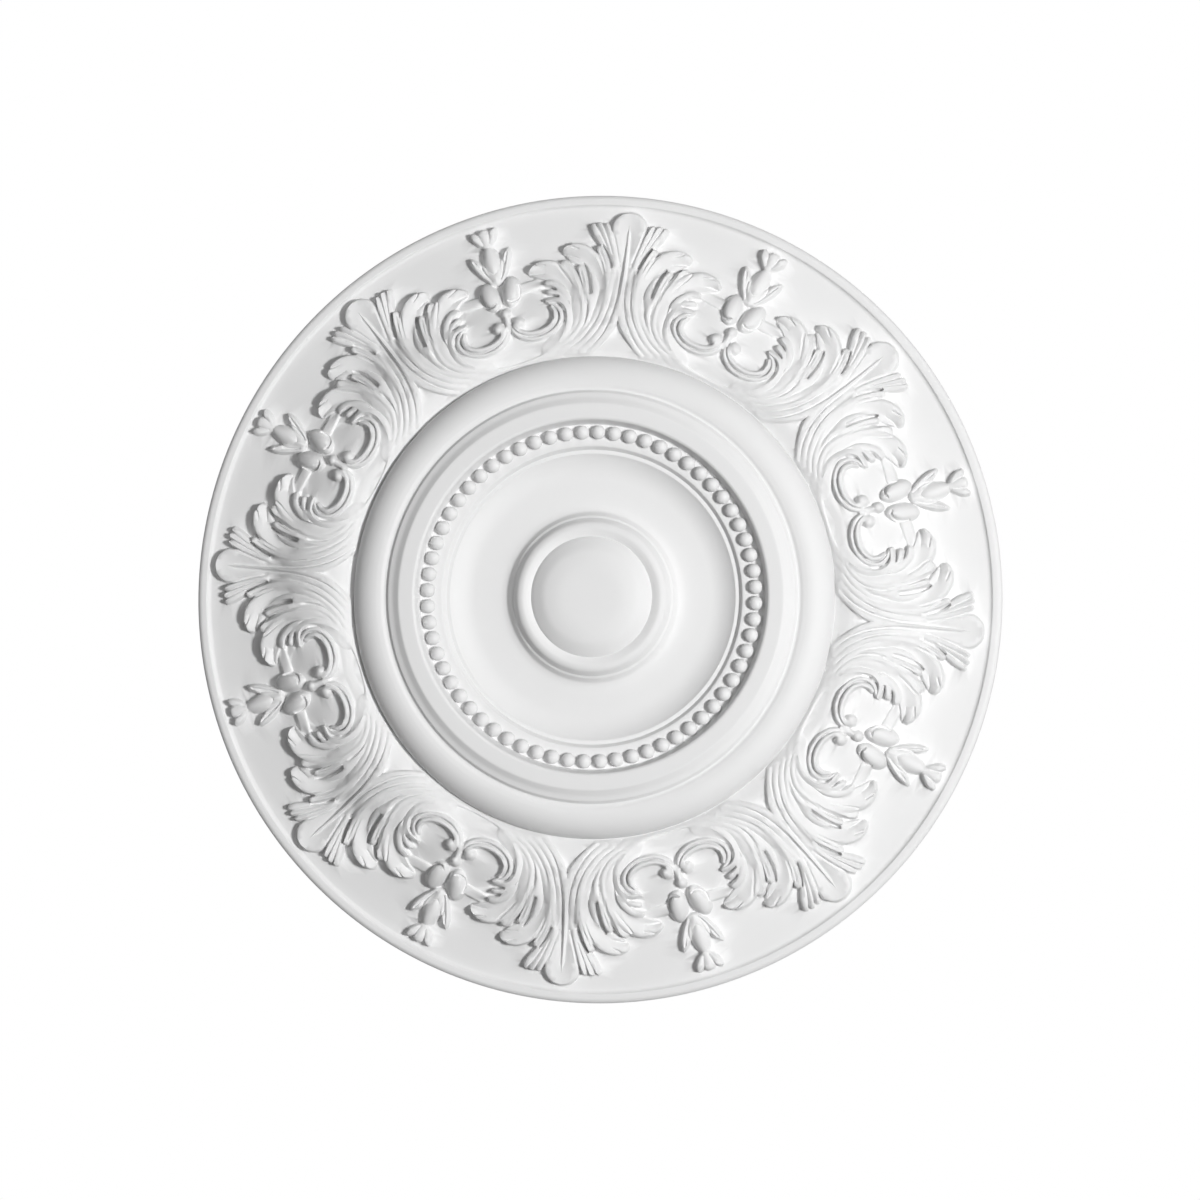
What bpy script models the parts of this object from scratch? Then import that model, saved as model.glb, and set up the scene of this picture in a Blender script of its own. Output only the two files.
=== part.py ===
# Ceiling rose: one round white casting with a pearl ring and a band of eight acanthus palmettes.
# It hangs from its flat back, which lies at z = 0, so every height above the back is laid off downwards.
# Half of one repeat is made: its profile is turned, the pearls and the leaves are raised on the turned
# surface as lobes that follow curved spines, and the facets are thinned. Mirrored, and turned round the
# axis eight times, it closes to the whole rose.

import math

import bmesh
import bpy
import numpy as np
from mathutils import Matrix, Vector

MM = 0.001

# Driving dimensions
DIAMETER = 470.0
PROJECTION = 46.0
RIM_THICKNESS = 10.0
REPEATS = 8
PEARL_COUNT = 64
SECTOR = math.pi / REPEATS

# Radii of the turned mouldings, from the middle outwards
BOSS_FLAT_R = 18.0
BOSS_R = 34.9
BOSS_RING_R = 39.8
BOSS_FOOT_R = 47.0
FIELD_IN_R = 54.0
FIELD_R = 68.0
FIELD_EDGE_R = 82.3
STEP_R = 84.8
CHANNEL_IN_R = 89.2
PEARL_RING_R = 95.0
CHANNEL_OUT_R = 99.0
PLATEAU_IN_R = 101.8
PLATEAU_R = 110.2
CYMA_R = 117.5
GROOVE_R = 119.3
OVOLO_R = 125.0
VALLEY_R = 139.4
BAND_IN_R = 140.2
SHOULDER_R = 152.7
FALL_R = 181.3
BAND_OUT_R = 226.8
RIM_IN_R = 229.5
RIM_R = DIAMETER / 2

# Heights above the flat back
BOSS_H = 45.6
BOSS_EDGE_H = 38.8
BOSS_RING_H = 40.5
BOSS_FOOT_H = 33.3
FIELD_H = 28.2
FIELD_EDGE_H = 32.9
CHANNEL_H = 36.5
CYMA_H = 42.4
GROOVE_H = 40.2
OVOLO_H = 41.4
VALLEY_H = 27.2
BAND_EDGE_H = 8.0
RIM_EDGE_ROUND = 1.5

# The ground of the band: a shallow slope, a soft fall inside it and the dip down to the valley
SLOPE_RISE = 6.4
FALL_RISE = 17.0
FALL_LENGTH = 8.0
VALLEY_DIP = 4.6

# Relief
PEARL_RADIUS = 4.1
PEARL_CENTRE_H = 38.6
SPINE_STEPS = 32
BLEND = 0.5
FLATNESS = 3.0
FULLNESS = 0.5

# Facets: rows and steps of the carved zones before thinning, steps of the plain turned zones, and
# the share of the carved facets that is kept
BAND_ROWS = 88
PEARL_ROWS = 12
SECTOR_STEPS = 60
BOSS_STEPS = 3
MOULDING_STEPS = 4
RIM_STEPS = 4
KEPT_SHARE = 0.049

# Palmette forms of one half, as stations along a spine: place across and out, half width, height
PALMETTE = {
    "petal": [
        (0, 167.9, 2.9, 3.2), (0, 181.9, 4.4, 3.8), (0, 195.3, 5.8, 4.4), (0, 207, 8.5, 4.9),
        (0, 215.7, 9.9, 5.4),
    ],
    "stem": [
        (0, 166.7, 1.7, 4.6), (0, 186.6, 1.7, 4.8), (0, 204, 1.4, 4.8), (0, 220.4, 0.5, 3.6),
    ],
    "strand": [
        (0.6, 177.2, 1.7, 4.2), (2, 164.4, 2.4, 4.4), (5.5, 152.7, 3.1, 4.2), (8.7, 145.8, 3.4, 3.4),
        (14, 139.9, 3.4, 2.4),
    ],
    "first_lobe": [
        (19.2, 139.9, 3.1, 2.4), (13.4, 146.3, 3, 3.4), (10.2, 152.7, 3, 4), (7, 164.4, 3, 4.2),
        (5.2, 176.6, 3, 4.2), (5.8, 189.5, 3, 4.2), (9.6, 201.1, 3.5, 4.5), (14, 209.3, 4.4, 4.8),
        (16.6, 214.8, 4.5, 4.8),
    ],
    "second_lip": [
        (24.5, 139.9, 3.1, 2.4), (18.7, 146.3, 3, 3.4), (15.2, 152.7, 3, 4), (11.1, 166.2, 3, 4.2),
        (10.5, 177.8, 3.3, 4.4), (11.7, 189.5, 3.4, 4.6), (15.2, 199.4, 3.3, 4.6),
    ],
    "second_blade": [
        (29.1, 139.9, 3.1, 2.4), (23.3, 146.3, 3, 3.4), (19.8, 152.7, 3.1, 4),
        (15.2, 164.4, 3.5, 4.4), (14, 176.6, 4, 4.8), (17.5, 187.7, 4.9, 5.2),
        (24.5, 195.3, 5.2, 5.6), (30.9, 197.9, 5.1, 5.6),
    ],
    "third_lip": [
        (33.8, 140.5, 3.1, 2.4), (28, 146.3, 3, 3.4), (24.5, 152.7, 3, 4), (21.6, 164.4, 2.9, 4.2),
        (22.2, 176.1, 2.8, 4.4), (24.5, 184.2, 2.8, 4.4), (26.8, 188.6, 2.6, 4.4),
    ],
    "third_ridge": [
        (38.5, 139.9, 3.1, 2.4), (32.1, 146.3, 3.1, 3.4), (28.6, 153.9, 3.1, 4),
        (26.2, 165, 3.1, 4.4), (27.4, 176.1, 3.3, 4.6), (31.5, 183.6, 3.4, 4.8),
        (36.1, 189.5, 3, 4.6),
    ],
    "third_blade": [
        (49, 133.5, 2.3, 2.2), (38.5, 141.7, 3.1, 3.4), (31.5, 151, 3.5, 4), (29.1, 163.2, 4.7, 4.6),
        (31.5, 174.9, 5.6, 5.2), (39.6, 181.9, 5.8, 5.8), (49, 185.4, 5.6, 5.6),
    ],
    "curl_tip": [
        (31.5, 162.1, 2.9, 4), (35, 172.6, 3.1, 4.6), (39.6, 176.4, 2.9, 4.8), (43.7, 175.2, 2.3, 4),
    ],
    "curl": [
        (54.2, 130.9, 1.7, 2), (46.6, 134.7, 2.2, 3), (39.6, 140.5, 2.7, 3.6), (33.8, 147.5, 2.9, 4),
        (31.2, 156.2, 2.9, 4.4), (33.2, 163.2, 2.9, 4.6), (38.5, 167.3, 2.9, 4.6),
        (42.6, 167.6, 2.3, 4.2),
    ],
}

# Pendant forms of one half, on the axis between two palmettes, in the same way
PENDANT = {
    "scroll": [
        (29.1, 168.5, 1.7, 3.4), (30.9, 163.2, 2.7, 4.4), (29.1, 158, 2.9, 4.6),
        (24.5, 154.8, 3, 4.6), (18.1, 154.4, 3, 4.6), (11.1, 154.5, 3, 4.6), (5.8, 157.1, 3, 4.6),
        (2.9, 161.5, 3, 4.8), (4.4, 166.4, 3.3, 5), (7.9, 166.2, 3.5, 5), (7.6, 163.8, 3.2, 5),
    ],
    "bar": [
        (7, 184.2, 3.3, 2.2), (26.8, 184.2, 3.3, 2.2),
    ],
    "pod": [
        (3.5, 176.6, 2.9, 5), (5, 180.7, 5.2, 6.8), (6.4, 186, 5.7, 6.8), (7.6, 190.6, 2.9, 5),
    ],
    "bud": [
        (0, 193, 2.3, 4.6), (0, 198.2, 5, 6), (0, 203.5, 5.5, 6.2), (0, 209.3, 3, 5),
    ],
    "side_petal": [
        (1.7, 191.2, 1.7, 4), (5.2, 198.8, 3.1, 4.8), (8.5, 204.6, 3.1, 4.6), (11.1, 209, 1.5, 3.6),
    ],
    "cup_side": [
        (1.7, 213.4, 2, 3.8), (4.7, 218.6, 2.9, 4.4), (7.3, 222.1, 2.3, 4),
    ],
    "cup_mid": [
        (0, 212.2, 3.1, 4), (0, 218, 3.5, 4.6), (0, 222.1, 2.6, 4.2),
    ],
    "ball": [
        (0, 172, 3.6, 5.6), (0, 172.3, 3.6, 5.6),
    ],
    "tie": [
        (0, 169.1, 2, 3.4), (0, 160.9, 1.4, 3),
    ],
}


def clear_scene():
    for obj in list(bpy.data.objects):
        bpy.data.objects.remove(obj)


def collection_named(name):
    collection = bpy.data.collections.new(name)
    bpy.context.scene.collection.children.link(collection)
    return collection


def primed_white():
    material = bpy.data.materials.new("primed_white_polyurethane")
    material.use_nodes = True
    shader = material.node_tree.nodes["Principled BSDF"]
    shader.inputs["Base Color"].default_value = (0.86, 0.86, 0.855, 1)
    shader.inputs["Roughness"].default_value = 0.6
    return material


def ground_height(radius):
    """The ornament band's ground: it rises from the valley to a shoulder and sweeps down to the rim."""
    slope = SLOPE_RISE * (BAND_OUT_R - radius) / (BAND_OUT_R - SHOULDER_R)
    fall = FALL_RISE / (1 + math.exp((radius - FALL_R) / FALL_LENGTH))
    share = min((radius - BAND_IN_R) / (SHOULDER_R - BAND_IN_R), 1)
    dip = VALLEY_DIP * (1 - math.sin(share * math.pi / 2))
    return BAND_EDGE_H + slope + fall - dip


def inner_profile():
    """Boss, its ring, the dished field and the step up to the pearl channel."""
    points = [(0.0, BOSS_H), (BOSS_FLAT_R, BOSS_H), (26.0, BOSS_H - 1.2), (31.0, BOSS_H - 3.7)]
    points += [(BOSS_R, BOSS_EDGE_H), (BOSS_RING_R - 2.6, BOSS_RING_H - 0.6), (BOSS_RING_R, BOSS_RING_H)]
    points += [(BOSS_RING_R + 3, BOSS_RING_H - 1.1), (BOSS_FOOT_R - 1.2, BOSS_FOOT_H + 0.9)]
    points += [(BOSS_FOOT_R, BOSS_FOOT_H), (BOSS_FOOT_R + 2.4, FIELD_H + 1.4), (FIELD_IN_R, FIELD_H)]
    points += [(FIELD_R, FIELD_H), (77.0, FIELD_H + 1.7), (FIELD_EDGE_R, FIELD_EDGE_H)]
    points += [(STEP_R, FIELD_EDGE_H), (STEP_R + 2.1, CHANNEL_H), (CHANNEL_IN_R - 1, CHANNEL_H)]
    return points


def middle_profile():
    """The pearl channel, the high plateau, its cyma and groove, and the ovolo down to the valley."""
    points = []
    for row in range(PEARL_ROWS + 1):
        radius = CHANNEL_IN_R + (CHANNEL_OUT_R + 0.4 - CHANNEL_IN_R) * row / PEARL_ROWS
        points.append((radius, CHANNEL_H))
    points += [(PLATEAU_IN_R, PROJECTION), (PLATEAU_R, PROJECTION), (PLATEAU_R + 4.4, CYMA_H + 1.1)]
    points += [(CYMA_R, CYMA_H), (GROOVE_R, GROOVE_H), (GROOVE_R + 2.6, OVOLO_H - 0.3)]
    for turn in range(0, 100, 15):
        angle = math.radians(turn)
        radius = OVOLO_R + (VALLEY_R - OVOLO_R) * math.sin(angle)
        points.append((radius, VALLEY_H + (OVOLO_H - VALLEY_H) * math.cos(angle)))
    return points


def outer_profile():
    """The ground of the ornament band, the rim and the flat back."""
    points = []
    for row in range(BAND_ROWS + 1):
        radius = BAND_IN_R + (BAND_OUT_R - BAND_IN_R) * row / BAND_ROWS
        points.append((radius, ground_height(radius)))
    points += [(RIM_IN_R - 1, BAND_EDGE_H + 0.7), (RIM_IN_R, RIM_THICKNESS)]
    points += [(RIM_R - RIM_EDGE_ROUND, RIM_THICKNESS)]
    points += [(RIM_R, RIM_THICKNESS - RIM_EDGE_ROUND), (RIM_R, 0.0), (0.0, 0.0)]
    return points


def smooth_curve(values, steps):
    """A smooth run of values through evenly spaced ones."""
    values = np.array(values, float)
    last = len(values) - 1
    place = np.linspace(0, last, steps)
    start = np.minimum(place.astype(int), last - 1)
    t = (place - start)[:, None]
    before = values[np.maximum(start - 1, 0)]
    here = values[start]
    there = values[start + 1]
    after = values[np.minimum(start + 2, last)]
    run = here * (2 * t ** 3 - 3 * t ** 2 + 1) + there * (3 * t ** 2 - 2 * t ** 3)
    lean = (there - before) * (t ** 3 - 2 * t ** 2 + t) + (after - here) * (t ** 3 - t ** 2)
    return run + lean / 2


def lobe_height(x, y, stations):
    """Height of one lobe above the ground: a flat-topped ridge that follows the spine, nothing beside it."""
    spine = smooth_curve(stations, SPINE_STEPS)
    start = spine[:-1]
    run = spine[1:] - start
    length = (run[:, :2] ** 2).sum(axis=1) + 1e-9
    over_x = x[:, None] - start[:, 0]
    over_y = y[:, None] - start[:, 1]
    share = np.clip((over_x * run[:, 0] + over_y * run[:, 1]) / length, 0, 1)
    away = np.hypot(over_x - share * run[:, 0], over_y - share * run[:, 1])
    part = away / (start[:, 2] + share * run[:, 2])
    nearest = part.argmin(axis=1)
    row = np.arange(len(x))
    reach = part[row, nearest]
    crest = start[nearest, 3] + share[row, nearest] * run[nearest, 3]
    height = crest * np.maximum(1 - reach ** FLATNESS, 0) ** FULLNESS
    return np.where(reach < 1, height, -1.0)


def blend_over(first, second):
    """The higher of two heights, with a small round in the valley between them."""
    share = np.clip(0.5 + 0.5 * (first - second) / BLEND, 0, 1)
    return second + (first - second) * share + BLEND * share * (1 - share) / 2


def relief_height(radius, angle):
    """Height of the carving above the ground at each place, angles counted from a palmette's axis."""
    height = np.full(radius.shape, -1.0)
    for forms, turn in ((PALMETTE, angle), (PENDANT, SECTOR - angle)):
        x = radius * np.sin(turn)
        y = radius * np.cos(turn)
        for stations in forms.values():
            height = blend_over(height, lobe_height(x, y, stations))
    return np.maximum(height, 0)


def pearl_height(radius, angle):
    """Height above the back of the nearest pearl, or of the channel beside it."""
    pitch = math.tau / PEARL_COUNT
    swing = (angle % pitch) - pitch / 2
    away = np.hypot(radius * np.cos(swing) - PEARL_RING_R, radius * np.sin(swing))
    ball = np.sqrt(np.maximum(PEARL_RADIUS ** 2 - away ** 2, 0))
    return np.where(away < PEARL_RADIUS, PEARL_CENTRE_H + ball, CHANNEL_H)


def turned_sector():
    """Half of one repeat: the profile turned from a palmette's axis to a pendant's axis."""
    bm = bmesh.new()
    row = bm.verts.layers.int.new("row")
    verts = []
    for index, (radius, height) in enumerate(inner_profile() + middle_profile() + outer_profile()):
        vert = bm.verts.new((radius * MM, 0, -height * MM))
        vert[row] = index
        verts.append(vert)
    edges = [bm.edges.new(pair) for pair in zip(verts, verts[1:])]
    bmesh.ops.spin(bm, geom=verts + edges, axis=(0, 0, 1), angle=SECTOR, steps=SECTOR_STEPS)
    bmesh.ops.remove_doubles(bm, verts=bm.verts, dist=1e-7)
    return bm


def is_carved(radius):
    """Whether a radius lies in the pearl channel or in the ornament band."""
    in_channel = CHANNEL_IN_R + 0.1 < radius < CHANNEL_OUT_R + 0.5
    return in_channel or BAND_IN_R + 0.5 < radius < BAND_OUT_R - 0.5


def plain_steps(radius):
    """Steps that half a repeat of a plain moulding needs to look round."""
    if radius > BAND_OUT_R - 0.5:
        return RIM_STEPS
    return BOSS_STEPS if radius < BOSS_FOOT_R + 5 else MOULDING_STEPS


def thin_mouldings(bm):
    """Draws the many steps of the plain mouldings together into the few that they need."""
    row = bm.verts.layers.int["row"]
    rings = {}
    for vert in bm.verts:
        radius = vert.co.xy.length / MM
        if radius < 0.1 or is_carved(radius):
            continue
        step = round(math.atan2(vert.co.y, vert.co.x) / SECTOR * SECTOR_STEPS)
        rings.setdefault(vert[row], {})[step] = vert
    targets = {}
    for ring in rings.values():
        pace = SECTOR_STEPS // plain_steps(ring[0].co.xy.length / MM)
        for step, vert in ring.items():
            kept = ring[round(step / pace) * pace]
            if kept != vert:
                targets[vert] = kept
    bmesh.ops.weld_verts(bm, targetmap=targets)


def press_relief(bm):
    """Moves the turned surface down to the pearls and the carving."""
    verts = [vert for vert in bm.verts if vert.co.z < -0.5 * BAND_EDGE_H * MM]
    places = np.array([vert.co for vert in verts]) / MM
    radius = np.hypot(places[:, 0], places[:, 1])
    angle = np.arctan2(places[:, 1], places[:, 0])
    height = -places[:, 2]
    in_channel = (radius > CHANNEL_IN_R + 0.1) & (radius < CHANNEL_OUT_R + 0.5)
    height[in_channel] = pearl_height(radius[in_channel], angle[in_channel])
    in_band = (radius > BAND_IN_R + 0.5) & (radius < BAND_OUT_R - 0.5)
    height[in_band] += relief_height(radius[in_band], angle[in_band])
    for vert, value in zip(verts, height):
        vert.co.z = -value * MM


def thinned(mesh, collection):
    """The sector with the facets of its carved zones thinned, most where they are flat."""
    obj = bpy.data.objects.new("sector", mesh)
    collection.objects.link(obj)
    carved = obj.vertex_groups.new(name="carved")
    carved.add([vert.index for vert in mesh.vertices if is_carved(vert.co.xy.length / MM)], 1.0, "REPLACE")
    decimate = obj.modifiers.new("thin", "DECIMATE")
    decimate.vertex_group = carved.name
    decimate.ratio = KEPT_SHARE
    graph = bpy.context.evaluated_depsgraph_get()
    thin = bpy.data.meshes.new_from_object(obj.evaluated_get(graph))
    bpy.data.objects.remove(obj)
    return thin


def square_cuts(bm):
    """Sets the open edges of the sector exactly on its two cutting planes, with no facet lying in them."""
    far = Vector((-math.sin(SECTOR), math.cos(SECTOR), 0))
    near = Vector((0, 1, 0))
    for vert in bm.verts:
        if not vert.is_boundary:
            continue
        if Vector((vert.co.x, vert.co.y)).length < MM:
            vert.co.x = 0
            vert.co.y = 0
        normal = near if abs(vert.co.dot(near)) < abs(vert.co.dot(far)) else far
        vert.co -= normal * vert.co.dot(normal)
    flat = []
    for face in bm.faces:
        reaches = [max(abs(vert.co.dot(normal)) for vert in face.verts) for normal in (near, far)]
        if min(reaches) < 1e-7:
            flat.append(face)
    bmesh.ops.delete(bm, geom=flat, context="FACES")


def repeat_round(bm):
    """Mirrors the sector and turns the pair round to the whole rose."""
    half = list(bm.verts) + list(bm.edges) + list(bm.faces)
    mirrored = bmesh.ops.duplicate(bm, geom=half)["geom"]
    turned = [item for item in mirrored if isinstance(item, bmesh.types.BMVert)]
    bmesh.ops.scale(bm, vec=(1, -1, 1), verts=turned)
    bmesh.ops.reverse_faces(bm, faces=[item for item in mirrored if isinstance(item, bmesh.types.BMFace)])
    pair = list(bm.verts) + list(bm.edges) + list(bm.faces)
    for repeat in range(1, REPEATS):
        copy = bmesh.ops.duplicate(bm, geom=pair)["geom"]
        verts = [item for item in copy if isinstance(item, bmesh.types.BMVert)]
        bmesh.ops.rotate(bm, matrix=Matrix.Rotation(2 * SECTOR * repeat, 3, "Z"), verts=verts)
    bmesh.ops.remove_doubles(bm, verts=bm.verts, dist=1e-6)
    bmesh.ops.recalc_face_normals(bm, faces=bm.faces)


def main():
    clear_scene()
    rose = collection_named("ceiling_rose")
    bm = turned_sector()
    thin_mouldings(bm)
    press_relief(bm)
    dense = bpy.data.meshes.new("dense_sector")
    bm.to_mesh(dense)
    bm.clear()
    bm.from_mesh(thinned(dense, rose))
    square_cuts(bm)
    repeat_round(bm)
    mesh = bpy.data.meshes.new("ceiling_rose")
    bm.to_mesh(mesh)
    bm.free()
    mesh.materials.append(primed_white())
    mesh.shade_smooth()
    mesh.set_sharp_from_angle(angle=math.radians(30))
    rose.objects.link(bpy.data.objects.new("ceiling_rose", mesh))


main()
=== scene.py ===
# The looks of the ceiling rose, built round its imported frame. One closed casting stands for the CAD solid:
# half of one repeat is turned on the axis, the leaves are raised on it and the facets are thinned where the
# surface is plain, then it is mirrored and turned round eight times. The rose hangs from its back at z = 0,
# so heights above the back are laid off downwards, and the camera looks up at it.
import math

import bmesh
import bpy
import numpy as np
from mathutils import Matrix, Vector


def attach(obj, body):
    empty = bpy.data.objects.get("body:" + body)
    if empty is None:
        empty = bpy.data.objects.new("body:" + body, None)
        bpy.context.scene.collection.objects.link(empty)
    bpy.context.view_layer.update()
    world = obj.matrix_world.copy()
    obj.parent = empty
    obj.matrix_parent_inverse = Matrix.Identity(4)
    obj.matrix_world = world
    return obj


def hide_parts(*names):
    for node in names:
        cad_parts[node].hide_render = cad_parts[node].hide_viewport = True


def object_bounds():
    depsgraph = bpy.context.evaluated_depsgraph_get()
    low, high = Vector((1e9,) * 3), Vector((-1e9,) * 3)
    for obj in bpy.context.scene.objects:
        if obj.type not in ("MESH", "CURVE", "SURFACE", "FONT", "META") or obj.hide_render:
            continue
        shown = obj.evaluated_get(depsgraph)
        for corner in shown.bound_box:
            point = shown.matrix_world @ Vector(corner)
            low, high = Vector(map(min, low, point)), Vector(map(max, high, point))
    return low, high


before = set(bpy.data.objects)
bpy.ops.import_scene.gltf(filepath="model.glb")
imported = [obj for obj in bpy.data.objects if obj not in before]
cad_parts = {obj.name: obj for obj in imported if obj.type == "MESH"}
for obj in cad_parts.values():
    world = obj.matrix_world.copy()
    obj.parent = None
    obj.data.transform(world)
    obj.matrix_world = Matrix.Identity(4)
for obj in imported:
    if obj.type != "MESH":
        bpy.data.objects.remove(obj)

bl_info = {
    "name": "Ceiling rose",
    "version": (1, 0, 0),
    "blender": (4, 5, 0),
    "location": "View3D > Sidebar > Ceiling rose",
    "description": "Builds the looks of a moulded ceiling rose with acanthus palmettes, and its studio stage",
    "category": "Object",
}

MM = 0.001
CAD_LOW, CAD_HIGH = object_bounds()

# Driving sizes, in millimetres
DIAMETER = round((CAD_HIGH.x - CAD_LOW.x) / MM, 1)
DEPTH = round((CAD_HIGH.z - CAD_LOW.z) / MM, 1)
RIM_R = DIAMETER / 2
REPEATS = 8
SECTOR = math.pi / REPEATS

# The leaf tables count places in parts of the diameter, 806 to the whole, and heights in millimetres
PART = DIAMETER / 806

# Turned mouldings: radii, then heights above the back
BOSS_R = 34.9
FIELD_R = 68.0
FIELD_EDGE_R = 82.2
OVOLO_R = 125.0
VALLEY_R = 139.4
BAND_IN_R = 140.2
SHOULDER_R = 152.7
FALL_R = 181.3
BAND_OUT_R = 226.8
BOSS_H = 45.6
FIELD_H = 28.2
FIELD_EDGE_H = 32.8
CHANNEL_H = 36.5
OVOLO_H = 41.4
VALLEY_H = 27.2
BAND_EDGE_H = 8.0
RIM_THICKNESS = 10.0

# The band's ground: a shallow slope, a soft fall inside it and the dip down to the valley
SLOPE_RISE = 6.4
FALL_RISE = 17.0
FALL_LENGTH = 8.0
VALLEY_DIP = 4.6

# Pearls
PEARL_COUNT = 64
PEARL_R = 4.1
PEARL_RING_R = 94.6
PEARL_CENTRE_H = 38.6

# Curves of the profile: sweep and steps of the field's dish, and the ovolo's pace in degrees
FIELD_SWEEP = 2.2
FIELD_STEPS = 10
OVOLO_PACE = 6

# Rounding of corners: the largest share of a side, the least that is drawn in millimetres, and its steps
MOST_OF_SIDE = 0.49
LEAST_ROUNDING = 0.02
ROUNDING_STEPS = 4

# Facets: steps of half a repeat, steps that a plain facet spans, rows of the band and what lies outside them
TURN_STEPS = 180
PLAIN_PACE = 12
BAND_STEP = 0.45
BAND_MARGIN = 0.2
SPINE_STEPS = 72
SHARP_ANGLE = 48

# Passes that soften the carving, as primer does
SOFTENINGS = 1

# Height that stands for no form at all, below the ground
BARE = -1.0

# How a top leans: share of the width where it starts, share that it takes, and the crest with the full lean
LEAN_START = 0.12
LEAN_SPAN = 0.7
LEAN_CREST = 5

# The palmette's tables hold what was read off the photo. It is carved with narrower edges than that, and its
# veins are cut wider and less deep, a little deeper from the tips' radius outwards
EDGE_SHARE = 0.75
VEIN_WIDTH = 1.25
ROOT_VEIN_DEPTH = 0.8
TIP_VEIN_DEPTH = 0.85
TIPS_FROM = 312

# Stage: the key's and the fill's places in degrees and metres, the floor's half width, the width of the
# change from the light below to that above, and what the camera aims at beside the rose's middle
KEY_BELOW = 3
KEY_DISTANCE = 3.0
FILL_HEIGHT = 40
FILL_DISTANCE = 1.4
FILL_SIZE = 1.0
FLOOR_HALF = 1.5
HORIZON = 0.1
AIM_ACROSS = 1.2
AIM_DOWN = 0.7

# Broad masses under the palmette's ribs. Each form has a section, an edge width, a dish, how far the top
# leans down to one side, and stations along its spine: place across, place out from the rose's middle, half
# width and height
MASSES = {
    "root_mass": ("strap", 5, 0, 0, [
        (10, 326, 7, 3.6), (12, 305, 9.5, 3.9), (14.5, 285, 12, 3.6), (21, 266, 13, 3.1),
        (31, 251, 12, 2.4), (41, 241, 10, 1.2),
    ]),
    "side_mass": ("strap", 5, 0, 0, [
        (46, 312, 8, 4.4), (40, 296, 10, 4.1), (39, 279, 11.5, 3.6), (43, 264, 12, 3.1),
        (53, 250, 12, 2.4), (64, 240, 10, 1.2),
    ]),
}

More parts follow.
